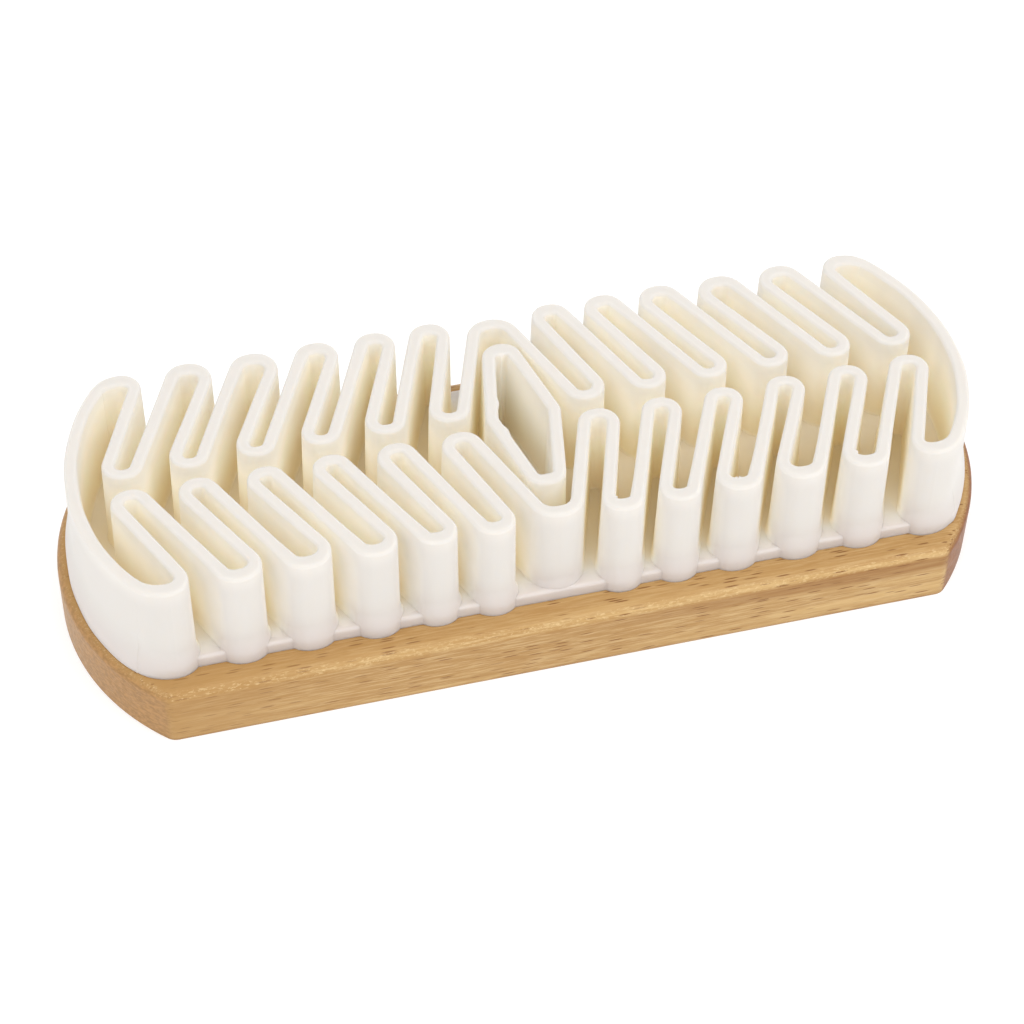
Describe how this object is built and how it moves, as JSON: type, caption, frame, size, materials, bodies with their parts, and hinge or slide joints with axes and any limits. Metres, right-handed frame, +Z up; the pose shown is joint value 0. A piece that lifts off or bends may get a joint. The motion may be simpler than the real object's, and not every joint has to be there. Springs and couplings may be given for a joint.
{
  "type": "suede brush",
  "caption": "Hand-held suede brush: a beech block with bowed ends and a glued white rubber pad whose upright winding wall lifts dirt and raises the nap.",
  "frame": {"origin": "middle of the flat wooden back, on the surface that the brush lies on", "axes": "+X along the brush, +Y across it towards the back row, +Z up from the wooden back to the rubber tips"},
  "size_m": [0.125, 0.0474, 0.0236],
  "materials": {
    "beech": "satin varnish, grain along the block",
    "white_rubber": "smooth satin, creamy white",
    "contact_glue": "dried amber contact adhesive"
  },
  "bodies": {
    "root": {"wooden_block": "beech", "rubber_pad": "white_rubber", "glue_film": "contact_glue"}
  },
  "joints": []
}
